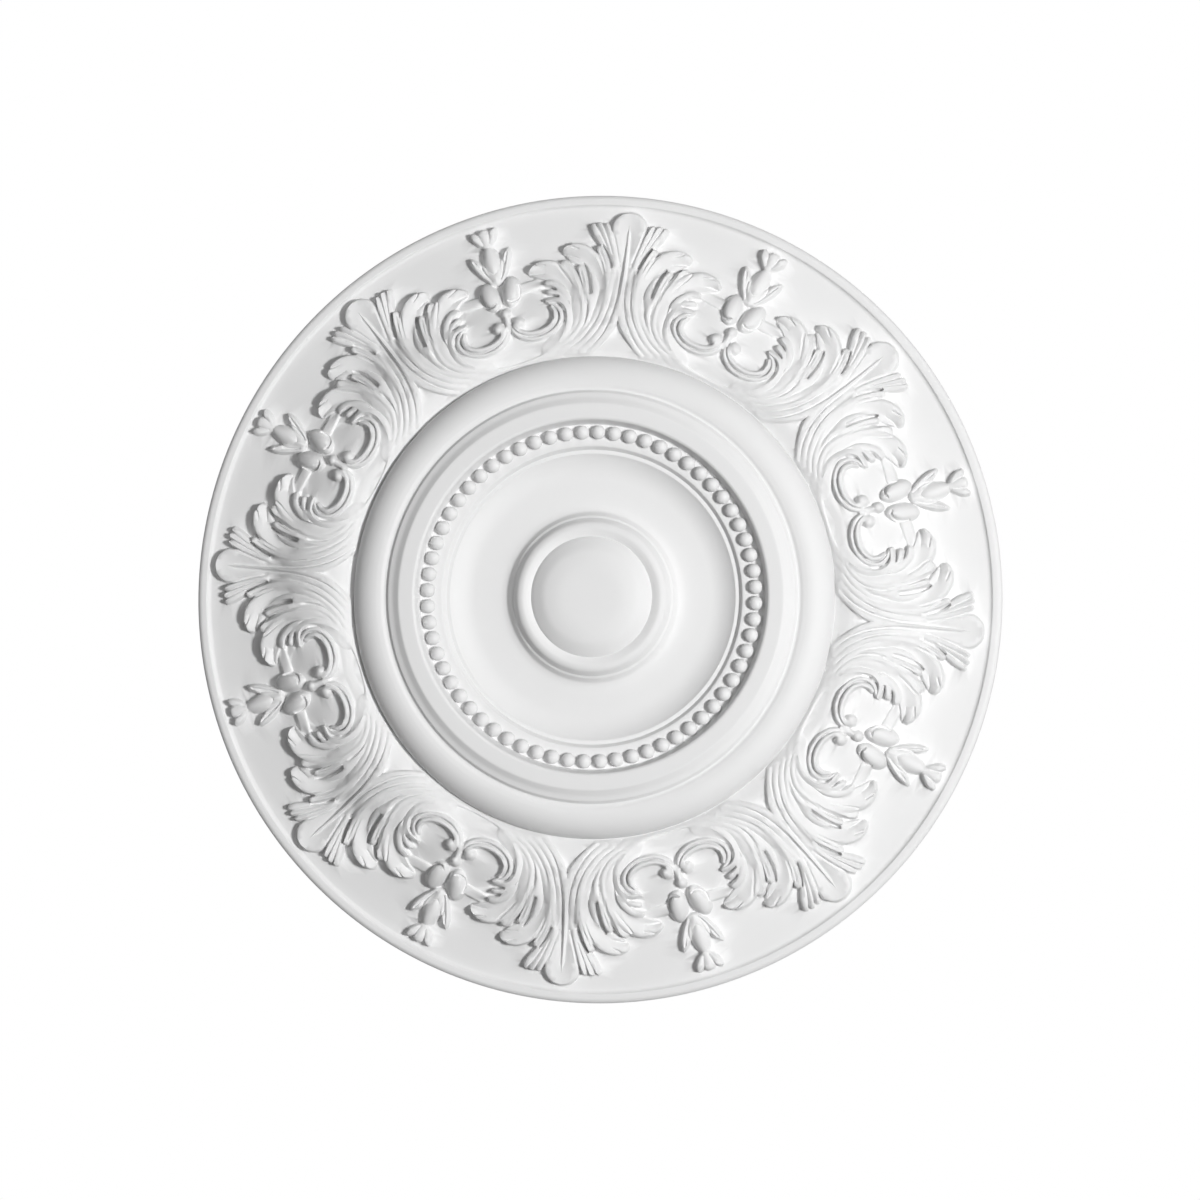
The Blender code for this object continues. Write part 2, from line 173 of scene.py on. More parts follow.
# Lobes, ribs and curls of half a palmette
PALMETTE = {
    "petal": ("strap", 3.0, 0.30, 0, [
        (0, 285, 5, 3.8), (0, 305, 6.5, 4.4), (0, 325, 8.5, 5.0), (0, 340, 10.5, 5.4),
        (0, 352, 13.5, 5.9), (0, 362, 16.4, 6.3), (0, 369, 17.8, 6.5),
    ]),
    "stem": ("round", 0, 0, 0, [
        (0, 288, 3.0, 4.8), (0, 308, 2.6, 5.2), (0, 330, 2.3, 5.3), (0, 352, 2.0, 5.2),
        (0, 374, 1.0, 4.9),
    ]),
    "first_finger": ("strap", 2.4, 0, 0.8, [
        (9.5, 331, 3.4, 5.2), (12, 342, 3.8, 5.8), (16, 353, 4.2, 6.3), (20.4, 363, 4.2, 6.7),
        (23.4, 371, 3.4, 6.8),
    ]),
    "second_finger": ("strap", 2.4, 0, 0.8, [
        (11, 331, 3.4, 5.0), (14.6, 342, 4.0, 5.6), (19.6, 352.5, 4.6, 6.1), (25.4, 362.5, 4.8, 6.5),
        (30, 370.6, 3.8, 6.7),
    ]),
    "third_finger": ("strap", 2.4, 0, 0.8, [
        (13, 334, 3.0, 4.6), (18, 344, 3.6, 5.1), (24.6, 353.6, 4.2, 5.6), (31, 362.4, 4.6, 6.0),
        (36, 369.4, 3.4, 6.2),
    ]),
    "strand": ("strap", 2.4, 0, 0, [
        (0, 302, 3.0, 4.6), (1.5, 286, 4.0, 4.3), (5, 271.8, 4.2, 3.9), (11, 260, 3.4, 3.2),
        (18.3, 250, 2.8, 2.4), (26, 242, 2.6, 2.1),
    ]),
    "rib_b": ("strap", 3.0, 0, 0, [
        (6.4, 314, 3.6, 4.5), (7, 299, 3.6, 4.5), (8.8, 285, 3.4, 4.3), (12.6, 272, 3.6, 3.9),
        (18.4, 260, 3.8, 3.2), (26, 250, 3.8, 2.4), (34.5, 242.5, 4, 2.1),
    ]),
    "rib_c": ("strap", 3.0, 0, 0, [
        (13, 322, 3.2, 5.4), (12.6, 304, 3.4, 5.1), (14.6, 286, 3.6, 4.7), (18.8, 272.5, 3.8, 4.1),
        (25.5, 260, 4, 3.2), (33.5, 250, 4, 2.4), (42.5, 243, 4, 2.1),
    ]),
    "second_blade": ("strap", 2.6, 0, 3.4, [
        (47, 244, 4.2, 2.1), (38, 252, 4.4, 2.2), (30.5, 262, 4.6, 3.0), (25, 273.5, 4.8, 3.8),
        (21, 285, 5.0, 4.4), (19, 296, 5.2, 4.9), (18.4, 307, 5.8, 5.4), (20.8, 318, 6.6, 6.0),
        (26.5, 327.5, 8.6, 6.5), (35.5, 335, 10.4, 7.0), (45, 339.6, 11.2, 7.4), (53, 342, 9.4, 7.4),
        (60, 342.4, 5.4, 7.0),
    ]),
    "second_lip": ("strap", 2.2, 0, 0.5, [
        (14.6, 316, 2.6, 5.8), (17.8, 329.5, 3.4, 6.4), (22.6, 340.5, 4.2, 7.0), (27.2, 347, 3.9, 7.2),
    ]),
    "collar": ("strap", 3.6, 0, -1.0, [
        (27.6, 286, 4.4, 4.4), (27.2, 297, 5.0, 5.0), (28.6, 308, 5.0, 5.2), (32.4, 318, 4.4, 5.2),
        (37, 325, 3.2, 5.0),
    ]),
    "rib_d": ("strap", 2.8, 0, 0, [
        (31, 297, 2.8, 5.0), (28.8, 285, 3.0, 4.7), (29.8, 274, 3.2, 4.2), (34, 263.5, 3.4, 3.4),
        (41, 254, 3.6, 2.6), (50, 246, 3.8, 1.6),
    ]),
    "rib_e": ("strap", 2.8, 0, 0.4, [
        (36.5, 292, 3.0, 4.6), (34.6, 280, 3.2, 4.3), (36, 269, 3.2, 3.8), (41, 259.5, 3.4, 3.0),
        (49, 250.5, 3.6, 2.2), (58.5, 243.5, 3.8, 2.1),
    ]),
    "third_lip": ("strap", 2.2, 0, 0.4, [
        (32.6, 290, 2.6, 4.9), (34.8, 300, 3.0, 5.6), (38, 311, 3.4, 6.3), (42, 321, 3.6, 6.8),
        (44.8, 326, 3.3, 6.9),
    ]),
    "third_ridge": ("strap", 2.4, 0, 0.8, [
        (37.6, 288, 3.4, 4.6), (41, 301, 3.8, 5.5), (46.8, 313, 4.4, 6.3), (54, 322.5, 5.2, 6.9),
        (60, 328.4, 5.0, 7.1),
    ]),
    "third_blade": ("strap", 2.8, 0, 3.8, [
        (66, 243.5, 5, 2.1), (56, 250.5, 5.8, 2.2), (48.5, 260, 6.4, 3.0), (43.6, 270.5, 6.8, 3.8),
        (41.6, 281, 7.2, 4.6), (43, 292, 7.6, 5.3), (47.4, 302.5, 8.2, 6.0), (54.6, 311.4, 9.0, 6.8),
        (64.4, 317.6, 10.4, 7.4), (75, 320.4, 11.4, 7.7), (84, 320.4, 9.4, 7.7), (91.6, 318.2, 5.4, 7.2),
    ]),
    "upper_tip": ("strap", 2.3, 0, 0.8, [
        (50.6, 283, 4.2, 4.0), (54.8, 294, 4.8, 5.0), (61.8, 302.2, 5.2, 5.9), (69.6, 306.4, 4.9, 6.4),
        (74.8, 307, 4.0, 6.4),
    ]),
    "lower_tip": ("strap", 2.1, 0, 0.6, [
        (53.6, 284, 3.6, 4.4), (58.6, 292.6, 3.6, 5.2), (65.4, 297.6, 3.5, 5.7), (72.2, 298.6, 3.0, 5.7),
    ]),
    "curl": ("strap", 2.0, 0, -0.8, [
        (92.5, 223.2, 2.0, 1.4), (78.7, 229.3, 2.3, 1.5), (68.1, 235.0, 2.9, 1.9),
        (59.3, 242.4, 3.6, 2.4), (52.8, 250.8, 4.0, 3.0), (49.2, 259.5, 4.0, 3.8),
        (47.9, 268.5, 3.9, 4.4), (48.6, 277.5, 3.6, 4.9), (51.6, 284.6, 3.4, 5.3), (56, 289, 3.3, 5.6),
        (61.8, 291.2, 3.2, 5.7), (67.6, 290.8, 3.0, 5.6), (73, 289.2, 2.3, 5.2),
    ]),
}

# Veins and hollows of the palmette: place across, place out, half width and depth
VEINS = {
    "stem_side": ("vein", [
        (2.2, 366, 1.0, 0.5), (2.4, 348, 1.3, 0.9), (2.6, 330, 1.4, 1.4), (2.8, 312, 1.5, 1.8),
        (3.6, 298, 1.5, 2.0), (5.6, 285, 1.5, 2.1), (9.2, 272, 1.5, 2.0), (14.7, 260, 1.4, 1.8),
        (21.8, 250, 1.3, 1.4), (30, 241.6, 1.2, 0.8),
    ]),
    "petal_valley": ("hollow", [
        (6.6, 334, 3.0, 0.7), (6.2, 318, 3.4, 1.1), (6.8, 303, 3.0, 0.8), (8.6, 287, 2.6, 0.4),
    ]),
    "petal_crease": ("vein", [
        (18.2, 371, 1.6, 2.0), (14.8, 361, 1.7, 2.2), (11.4, 350, 1.6, 2.0), (8.2, 339, 1.4, 1.6),
        (5.8, 331, 1.2, 1.0),
    ]),
    "rib_b_line": ("vein", [
        (9.4, 304, 1.1, 0.5), (10.4, 294, 1.2, 0.9), (12, 284, 1.3, 1.2), (15.8, 272.5, 1.3, 1.3),
        (22.4, 260, 1.3, 1.2), (30.4, 250, 1.2, 0.9), (39, 242.6, 1.0, 0.5),
    ]),
    "rib_c_line": ("vein", [
        (17.4, 290, 1.2, 0.6), (19.2, 281, 1.3, 1.0), (23, 271, 1.3, 1.2), (29.6, 260, 1.3, 1.1),
        (38, 250, 1.2, 0.8), (47, 243.4, 1.0, 0.4),
    ]),
    "collar_line": ("vein", [
        (23.4, 296, 1.5, 0.9), (24.6, 286, 1.6, 1.3), (27.2, 276, 1.6, 1.4), (31.6, 266, 1.5, 1.3),
        (38.4, 256, 1.3, 1.0), (47.6, 247.4, 1.1, 0.6),
    ]),
    "rib_d_line": ("vein", [
        (35.2, 298, 1.2, 0.9), (32.4, 289.5, 1.4, 1.5), (31.6, 280, 1.5, 1.8), (33.2, 269, 1.4, 1.7),
        (38.2, 259, 1.3, 1.4), (46, 250, 1.2, 1.0), (55.4, 243.6, 1.0, 0.5),
    ]),
    "rib_e_line": ("vein", [
        (40, 294, 1.1, 0.5), (38, 284, 1.2, 0.9), (38.2, 273, 1.2, 1.0), (42.4, 262, 1.2, 0.9),
        (50.4, 252.4, 1.1, 0.7), (61, 244.4, 1.0, 0.4),
    ]),
    "curl_line": ("vein", [
        (52, 290.4, 1.0, 0.6), (47, 282, 1.2, 1.0), (44.8, 271, 1.3, 1.1), (46.6, 260.4, 1.2, 0.9),
        (52.6, 250.4, 1.1, 0.7), (62, 241.8, 1.0, 0.4),
    ]),
    "lip_line": ("vein", [(17.6, 324, 1.0, 0.5), (21.4, 335, 1.1, 0.9), (26.6, 344.4, 1.1, 0.8)]),
    "lip_gap": ("vein", [
        (19, 320, 1.3, 1.0), (24, 332, 1.5, 1.8), (29.6, 341.4, 1.6, 2.2), (33.6, 348.6, 1.8, 2.6),
    ]),
    "third_lip_line": ("vein", [(36.6, 303, 1.0, 0.5), (39.8, 314, 1.1, 0.9), (44.2, 324, 1.1, 0.8)]),
    "third_gap": ("vein", [
        (38.6, 297, 1.2, 1.0), (41.6, 308, 1.4, 1.8), (46.4, 318, 1.7, 2.4), (51.4, 326.6, 2.2, 3.2),
    ]),
    "ridge_line": ("vein", [(46, 308, 1.0, 0.5), (52, 317.4, 1.2, 0.9), (58.4, 325.8, 1.1, 0.7)]),
    "ridge_gap": ("vein", [
        (49, 306, 1.2, 0.8), (56.4, 315.4, 1.4, 1.4), (62.6, 321.6, 1.5, 1.6), (68, 328, 1.6, 1.6),
    ]),
    "tip_line": ("vein", [(58, 295.4, 1.0, 0.4), (64.4, 302, 1.1, 0.8), (72.4, 305, 1.0, 0.4)]),
}

# Notches and forks in the blades' ends, cut just as they stand here
NOTCHES = {
    "finger_gap": ("vein", [
        (33.6, 371, 1.4, 3), (29, 364, 1.3, 2), (23, 354, 1.2, 1.4), (17, 343, 1.1, 1),
    ]),
    "finger_line": ("vein", [
        (26.8, 373.5, 1.4, 3.2), (23, 364, 1.3, 2), (18, 353, 1.1, 1.4), (13.6, 342, 1, 0.8),
    ]),
    "second_notch": ("vein", [(61, 350, 1.6, 2.6), (55, 347, 1.5, 1.8), (48, 344.5, 1.2, 0.8)]),
    "second_fork": ("vein", [(62, 338, 1.6, 2.6), (55, 337.6, 1.5, 1.8), (47, 336, 1.2, 0.8)]),
    "third_notch": ("vein", [(92, 326, 1.6, 2.8), (86, 325.4, 1.5, 1.8), (79, 325, 1.2, 0.8)]),
    "third_fork": ("vein", [(94, 315, 1.6, 2.8), (87, 316.4, 1.5, 1.8), (79, 317, 1.2, 0.8)]),
}

# Eyes cut through to the ground: place across, place out and half width
EYES = {
    "hole": [(14, 330.5, 1.3), (16.4, 337, 1.7), (20, 344, 1.4), (24.4, 350.4, 0.8)],
    "slit": [(30.6, 301.5, 1.5), (32.2, 309, 1.9), (34.8, 317.5, 1.9), (38, 325, 1.5), (41, 330, 0.9)],
    "tip_gap": [(66, 301.6, 0.6), (71, 302.8, 1.2), (78, 302.8, 1.8)],
    "curl_gap": [(62, 294.4, 0.5), (68, 294.6, 1.1), (76, 293.4, 1.7)],
}

# Raised forms of half a pendant, on the axis between two palmettes
PENDANT = {
    "scroll_rib": ("strap", 2.3, 0, 0, [
        (45.6, 287.4, 2.2, 4.0), (48, 281.6, 2.8, 4.8), (47, 275.5, 3, 5.2), (43, 270.8, 3.1, 5.4),
        (36.5, 267.6, 3.1, 5.4), (28.5, 266.4, 3.1, 5.4), (20.5, 267.2, 3.1, 5.4),
        (13.5, 269.8, 3.1, 5.4), (8.2, 274, 3.3, 5.6), (6.6, 279.5, 3.7, 5.8),
    ]),
    "bulb": ("round", 0, 0, 0, [(9.4, 283, 5.6, 6.2), (11, 281.6, 5.8, 6.6)]),
    "scroll_edge": ("strap", 1.5, 0, 0, [
        (43.6, 292.6, 1.6, 3.6), (50, 288.2, 2.0, 4.2), (53.4, 281.6, 2.2, 4.4), (52.8, 274.6, 2.2, 4.4),
        (48.8, 268.4, 2.2, 4.2), (42.5, 264, 2.2, 4.0), (35.5, 261.6, 2.2, 4.0), (28, 260.8, 2.2, 4.0),
        (20, 261.7, 2.2, 4.0), (12.6, 264.6, 2.2, 4.0), (6.4, 269.4, 2.2, 4.0), (3, 275.5, 2.0, 4.0),
        (2.6, 281, 1.8, 3.8),
    ]),
    "tie": ("round", 0, 0, 0, [(0, 291, 3.4, 4.6), (0, 284, 3.6, 4.2), (0, 277, 2.4, 3.0)]),
    "bar": ("strap", 2.4, 0, 1.2, [(6, 316, 5.8, 3.0), (30, 316, 5.6, 2.6), (44, 316.5, 5.2, 2.2)]),
    "pod": ("round", 0, 0, 0, [
        (8, 304.6, 4.5, 5.4), (9.6, 310, 8.6, 7.6), (11.4, 316.5, 10.2, 8.6), (12.6, 323.5, 8.2, 7.8),
        (13.2, 328.5, 4.0, 5.8),
    ]),
    "bud": ("round", 0, 0, 0, [
        (0, 331, 4.5, 5.4), (0, 341, 8.4, 7.0), (0, 350, 10, 7.6), (0, 359, 7.8, 7.0), (0, 365, 4.4, 5.8),
    ]),
    "side_petal": ("strap", 2.6, 0, 0, [
        (4, 331, 3.4, 4.6), (9, 340.5, 5, 5.6), (13.5, 349, 5.2, 6.2), (17.4, 356, 3.8, 6.0),
        (19.6, 360, 1.8, 5.2),
    ]),
    "cup": ("strap", 2.6, 0, 0, [(0, 368, 4.2, 5.0), (0, 373, 6.6, 5.6), (0, 378, 8.6, 6.0)]),
    "cup_side": ("strap", 2.4, 0, 0, [(4, 373, 4.6, 5.6), (8.4, 379, 4.6, 6.2), (11, 383, 2.8, 6.2)]),
    "cup_mid": ("strap", 2.4, 0, 0, [(0, 374, 4.6, 5.8), (0, 380, 4.4, 6.2), (0, 384, 2.6, 6.0)]),
    "ball": ("round", 0, 0, 0, [(0, 295, 5.4, 6.4), (0, 295.4, 5.4, 6.4)]),
}

# Veins of the pendant
PENDANT_VEINS = {
    "scroll_line": ("vein", [
        (50.6, 281, 0.9, 0.8), (50, 275, 1.1, 1.3), (46, 269.7, 1.2, 1.5), (40, 266, 1.2, 1.5),
        (34, 264, 1.2, 1.5), (28, 263.4, 1.2, 1.5), (21, 264.2, 1.2, 1.5), (14, 267, 1.2, 1.5),
        (8, 271.4, 1.1, 1.3), (4.6, 276.5, 0.9, 0.8),
    ]),
    "bar_line": ("vein", [(20, 309.8, 1.0, 0.8), (42, 309.8, 1.0, 0.8)]),
    "petal_line": ("vein", [(7, 335, 1.1, 0.7), (12, 345.4, 1.4, 1.5), (17.4, 356.6, 1.2, 1.0)]),
    "bud_side": ("vein", [
        (5, 333, 1.2, 1.2), (9, 340, 1.6, 2.2), (11, 348, 1.6, 2.2), (10.6, 354, 1.4, 1.6),
    ]),
    "calyx": ("vein", [(5.4, 345, 1.0, 0.4), (3, 340.6, 1.2, 0.9), (0, 338.4, 1.2, 1.0)]),
    "cup_side_line": ("vein", [(2.6, 370, 1.2, 0.6), (4.4, 376.6, 1.4, 1.5), (6, 384, 1.6, 2.2)]),
    "pod_seam": ("vein", [(0, 304, 1.4, 1.4), (0, 312, 1.6, 2.0), (1.0, 323, 1.6, 2.0)]),
    "pod_slot": ("vein", [
        (6.8, 307, 1.3, 2.0), (11, 305.4, 1.7, 3.8), (16, 307.6, 2.1, 4.8), (19, 313.4, 2.1, 4.8),
        (19.4, 320, 1.6, 3.0),
    ]),
}

# Rounding where forms meet, in millimetres, and width of the slope round an eye, in parts
FORM_BLEND = 0.5
EYE_WALL = 1.6

# How far the eyes go below the ground, in millimetres
EYE_DEPTH = 1.2


# Helpers


def linear(hex_colour):
    """An sRGB hex colour as linear red, green, blue and alpha."""
    out = []
    for place in (1, 3, 5):
        value = int(hex_colour[place:place + 2], 16) / 255
        out.append(value / 12.92 if value <= 0.04045 else ((value + 0.055) / 1.055) ** 2.4)
    return (*out, 1.0)


def node(tree, kind, links=(), **settings):
    """Adds a node with its settings and input values, and links sockets into it."""
    new = tree.nodes.new(kind)
    for key, value in settings.items():
        if key in new.inputs:
            new.inputs[key].default_value = value
        else:
            setattr(new, key, value)
    for socket, source in links:
        tree.links.new(source, new.inputs[socket])
    return new


def placed(data, name):
    """Puts a mesh, a lamp or a camera in the scene as an object."""
    piece = bpy.data.objects.new(name, data)
    bpy.context.scene.collection.objects.link(piece)
    return piece


# The outline that is turned: each corner is radius, height above the back, rounding


def ground_height(radius):
    """The ornament band's ground: it rises from the valley to a shoulder and sweeps down to the rim."""
    slope = SLOPE_RISE * (BAND_OUT_R - radius) / (BAND_OUT_R - SHOULDER_R)
    fall = FALL_RISE / (1 + math.exp((radius - FALL_R) / FALL_LENGTH))
    share = min((radius - BAND_IN_R) / (SHOULDER_R - BAND_IN_R), 1)
    dip = VALLEY_DIP * (1 - math.sin(share * math.pi / 2))
    return BAND_EDGE_H + slope + fall - dip


def rounded(corners):
    """A run of straight lines with each corner rounded by a short curve."""
    points = [corners[0][:2]]
    for (ax, ay, _), (bx, by, reach), (cx, cy, _) in zip(corners, corners[1:], corners[2:]):
        before = math.hypot(bx - ax, by - ay)
        after = math.hypot(cx - bx, cy - by)
        cut = min(reach, before * MOST_OF_SIDE, after * MOST_OF_SIDE)
        if cut < LEAST_ROUNDING:
            points.append((bx, by))
            continue
        start = (bx + (ax - bx) * cut / before, by + (ay - by) * cut / before)
        end = (bx + (cx - bx) * cut / after, by + (cy - by) * cut / after)
        for step in range(ROUNDING_STEPS + 1):
            t = step / ROUNDING_STEPS
            points.append(tuple(
                p * (1 - t) ** 2 + q * 2 * t * (1 - t) + r * t * t
                for p, q, r in zip(start, (bx, by), end)
            ))
    points.append(corners[-1][:2])
    return points


def boss_profile():
    """The domed boss, the torus round it, and the small steps down to the field."""
    points = rounded([(0, BOSS_H, 0), (19, BOSS_H, 4), (27.4, 43.9, 4), (31.5, 41.5, 2), (33.8, 40, 0.8),
                      (BOSS_R, 38.8, 0.1)])
    points += rounded([(35.3, 39, 0), (37, 39.9, 1), (39.8, 40.7, 1.6), (42.2, 39.9, 1.2), (43.3, 38.8, 0.8),
                       (45.6, 34.3, 0.4), (46.9, 33.5, 0.3), (47.5, 32.6, 0.3), (49.4, 29.4, 1.2),
                       (52.5, 28.4, 1.5), (56, FIELD_H, 0)])
    return points


def field_profile():
    """The field that dishes up to its edge, the small riser and the pearls' channel."""
    points = [(62, FIELD_H), (FIELD_R, FIELD_H)]
    for step in range(1, FIELD_STEPS + 1):
        share = step / FIELD_STEPS
        radius = FIELD_R + (FIELD_EDGE_R - FIELD_R) * share
        points.append((radius, FIELD_H + (FIELD_EDGE_H - FIELD_H) * share ** FIELD_SWEEP))
    points += rounded([(82.4, 33, 0), (82.8, 33.2, 0.2), (84.9, 32.9, 0.3), (86.7, 36.3, 0.5),
                       (88, CHANNEL_H, 0.6), (99.3, CHANNEL_H, 0.3), (101.5, 45, 0.6), (102.6, DEPTH, 1),
                       (105, DEPTH, 0)])
    return points


def shoulder_profile():
    """The plateau's fall through a cyma to its groove, and the ovolo that rolls down to the valley."""
    points = rounded([(109.4, DEPTH, 0), (111, DEPTH, 1), (114.5, 43.4, 2), (117.4, 42.5, 0.6),
                      (118.9, 40.3, 0.4), (120.2, 40.3, 0.4), (121.8, 41.1, 0.8),
                      (OVOLO_R - 0.6, OVOLO_H, 1)])
    for turn in range(0, 91, OVOLO_PACE):
        angle = math.radians(turn)
        radius = OVOLO_R + (VALLEY_R - OVOLO_R) * math.sin(angle)
        points.append((radius, VALLEY_H + (OVOLO_H - VALLEY_H) * math.cos(angle)))
    return points


def band_profile():
    """The ornament band's ground, in even rows, then the rim and the flat back."""
    rows = round((BAND_OUT_R - BAND_IN_R) / BAND_STEP)
    points = []
    for row in range(rows + 1):
        radius = BAND_IN_R + (BAND_OUT_R - BAND_IN_R) * row / rows
        points.append((radius, ground_height(radius)))
    points += rounded([(227.4, BAND_EDGE_H + 0.1, 0), (228.6, BAND_EDGE_H + 0.6, 0.8),
                       (229.5, RIM_THICKNESS, 0.5), (RIM_R - 1.8, RIM_THICKNESS, 1.5),
                       (RIM_R, RIM_THICKNESS - 1.8, 1.5), (RIM_R, 0.3, 0.3), (RIM_R - 0.4, 0, 0.3),
                       (200, 0, 0)])
    points.append((0, 0))
    return points


# The carving: every form and cut follows a spine of stations


def smooth_curve(stations, steps):
    """A smooth run of values through evenly spaced ones."""
    values = np.array(stations, float)
    last = len(values) - 1
    place = np.linspace(0, last, steps)
    start = np.minimum(place.astype(int), last - 1)
    t = (place - start)[:, None]
    here = values[start]
    there = values[start + 1]
    before = np.where((start == 0)[:, None], 2 * here - there, values[np.maximum(start - 1, 0)])
    after = np.where((start == last - 1)[:, None], 2 * there - here, values[np.minimum(start + 2, last)])
    run = here * (2 * t ** 3 - 3 * t ** 2 + 1) + there * (3 * t ** 2 - 2 * t ** 3)
    lean = (there - before) * (t ** 3 - 2 * t ** 2 + t) + (after - here) * (t ** 3 - t ** 2)
    return run + lean / 2


def nearest(x, y, spine):
    """Distance to the spine, its half width and value there, and how far aside of it a place lies."""
    start = spine[:-1]
    run = spine[1:] - start
    length = (run[:, :2] ** 2).sum(axis=1) + 1e-9
    over_x = x[:, None] - start[:, 0]
    over_y = y[:, None] - start[:, 1]
    share = np.clip((over_x * run[:, 0] + over_y * run[:, 1]) / length, 0, 1)
    away = np.hypot(over_x - share * run[:, 0], over_y - share * run[:, 1])
    width = start[:, 2] + share * run[:, 2]
    best = (away - width).argmin(axis=1)
    row = np.arange(len(x))
    value = start[best, 3] + share[row, best] * run[best, 3]
    aside = (run[best, 0] * over_y[row, best] - run[best, 1] * over_x[row, best]) / np.sqrt(length[best])
    return away[row, best], np.maximum(width[row, best], 0.3), value, aside


def close_by(x, y, spine, margin):
    """Which places lie in the box round a spine."""
    low = spine[:, :2].min(axis=0) - spine[:, 2].max() - margin
    high = spine[:, :2].max(axis=0) + spine[:, 2].max() + margin
    return (x > low[0]) & (x < high[0]) & (y > low[1]) & (y < high[1])


def blend_over(first, second, reach):
    """The higher of two heights, with a small round in the valley between them."""
    share = np.clip(0.5 + 0.5 * (first - second) / reach, 0, 1)
    return second + (first - second) * share + reach * share * (1 - share) / 2


def leaning(aside, width, crest, lean):
    """How much lower a top that leans to one side lies: nothing at its high edge, the full lean across it."""
    share = (1 - math.copysign(1, lean) * aside / width) / 2
    share = np.clip((share - LEAN_START) / LEAN_SPAN, 0, 1)
    return abs(lean) * np.minimum(1, crest / LEAN_CREST) * share * share * (3 - 2 * share)


def raised(x, y, forms):
    """Height of the forms above the ground: straps with a rounded edge and a dished top, or round ridges."""
    height = np.full(x.shape, BARE)
    for section, edge, dish, lean, stations in forms.values():
        spine = smooth_curve(stations, SPINE_STEPS)
        near = close_by(x, y, spine, 1)
        if not near.any():
            continue
        away, width, crest, aside = nearest(x[near], y[near], spine)
        middle = np.clip(1 - (away / width) ** 2, 0, 1)
        if section == "round":
            form = crest * np.sqrt(middle)
        else:
            inward = np.clip((width - away) / np.minimum(edge, width), 0, 1)
            top = crest * (1 - dish * middle) - leaning(aside, width, crest, lean)
            form = top * np.sqrt(1 - (1 - inward) ** 2)
        form = np.where(away < width, form, BARE)
        height[near] = blend_over(height[near], form, FORM_BLEND)
    return height


def incised(x, y, cuts, height):
    """The height after the veins are cut and the hollows are dished."""
    veins = np.zeros_like(height)
    hollows = np.zeros_like(height)
    for section, stations in cuts.values():
        spine = smooth_curve(stations, SPINE_STEPS)
        near = close_by(x, y, spine, 1)
        if not near.any():
            continue
        away, width, depth, _ = nearest(x[near], y[near], spine)
        middle = np.clip(1 - (away / width) ** 2, 0, 1)
        if section == "vein":
            veins[near] = np.maximum(veins[near], depth * middle ** 1.5)
        else:
            hollows[near] = np.maximum(hollows[near], depth * middle ** 2)
    return height - (veins + hollows) * np.clip(height / 2, 0, 1)


def pierced(x, y, holes, height):
    """The height with the eyes between the leaves cut through to the ground."""
    for stations in holes.values():
        spine = smooth_curve([(*station, 0) for station in stations], SPINE_STEPS)
        near = close_by(x, y, spine, 3)
        if not near.any():
            continue
        away, width, _, _ = nearest(x[near], y[near], spine)
        kept = np.clip((away - width) / EYE_WALL + 0.5, 0, 1)
        height[near] = height[near] * kept - EYE_DEPTH * (1 - kept)
    return height


def crisper(forms):
    """The forms as they are carved, with narrower edges than read."""
    return {name: (section, edge * EDGE_SHARE, *rest) for name, (section, edge, *rest) in forms.items()}


def softer(cuts):
    """The veins as they are carved, wider and less deep than read."""
    carved = {}
    for name, (section, stations) in cuts.items():
        shares = [TIP_VEIN_DEPTH if out >= TIPS_FROM else ROOT_VEIN_DEPTH for _, out, _, _ in stations]
        carved[name] = (section, [
            (across, out, width * VEIN_WIDTH, depth * share)
            for (across, out, width, depth), share in zip(stations, shares)
        ])
    return carved


def carving(radius, angle):
    """Height of the carving above the ground, angles counted from a palmette's axis."""
    radius = radius / PART
    x = radius * np.sin(angle)
    y = radius * np.cos(angle)
    leaf = raised(x, y, {**MASSES, **crisper(PALMETTE)})
    leaf = np.maximum(incised(x, y, {**softer(VEINS), **NOTCHES}, leaf), 0)
    leaf = pierced(x, y, EYES, leaf)
    x = radius * np.sin(SECTOR - angle)
    y = radius * np.cos(SECTOR - angle)
    pendant = incised(x, y, PENDANT_VEINS, raised(x, y, PENDANT))
    return blend_over(leaf, pendant, FORM_BLEND)


# The casting


def turned_sector(profile):
    """Half of one repeat: the profile turned from a palmette's axis to a pendant's axis."""
    bm = bmesh.new()
    row = bm.verts.layers.int.new("row")
    verts = []
    for index, (radius, height) in enumerate(profile):
        vert = bm.verts.new((radius * MM, 0, -height * MM))
        vert[row] = index
        verts.append(vert)
    edges = [bm.edges.new(pair) for pair in zip(verts, verts[1:])]
    bmesh.ops.spin(bm, geom=verts + edges, axis=(0, 0, 1), angle=SECTOR, steps=TURN_STEPS)
    bmesh.ops.remove_doubles(bm, verts=bm.verts, dist=1e-7)
    return bm


def in_band(vert):
    """Whether a vertex lies on the carved face of the ornament band."""
    radius = vert.co.xy.length / MM
    in_rows = BAND_IN_R + BAND_MARGIN < radius < BAND_OUT_R - BAND_MARGIN
    return in_rows and vert.co.z < -0.5 * BAND_EDGE_H * MM


def thin_mouldings(bm):
    """Draws the many steps of the plain mouldings together into the few that they need."""
    row = bm.verts.layers.int["row"]
    rings = {}
    for vert in bm.verts:
        if vert.co.xy.length < MM / 10 or in_band(vert):
            continue
        step = round(math.atan2(vert.co.y, vert.co.x) / SECTOR * TURN_STEPS)
        rings.setdefault(vert[row], {})[step] = vert
    targets = {}
    for ring in rings.values():
        for step, vert in ring.items():
            kept = ring[round(step / PLAIN_PACE) * PLAIN_PACE]
            if kept != vert:
                targets[vert] = kept
    bmesh.ops.weld_verts(bm, targetmap=targets)


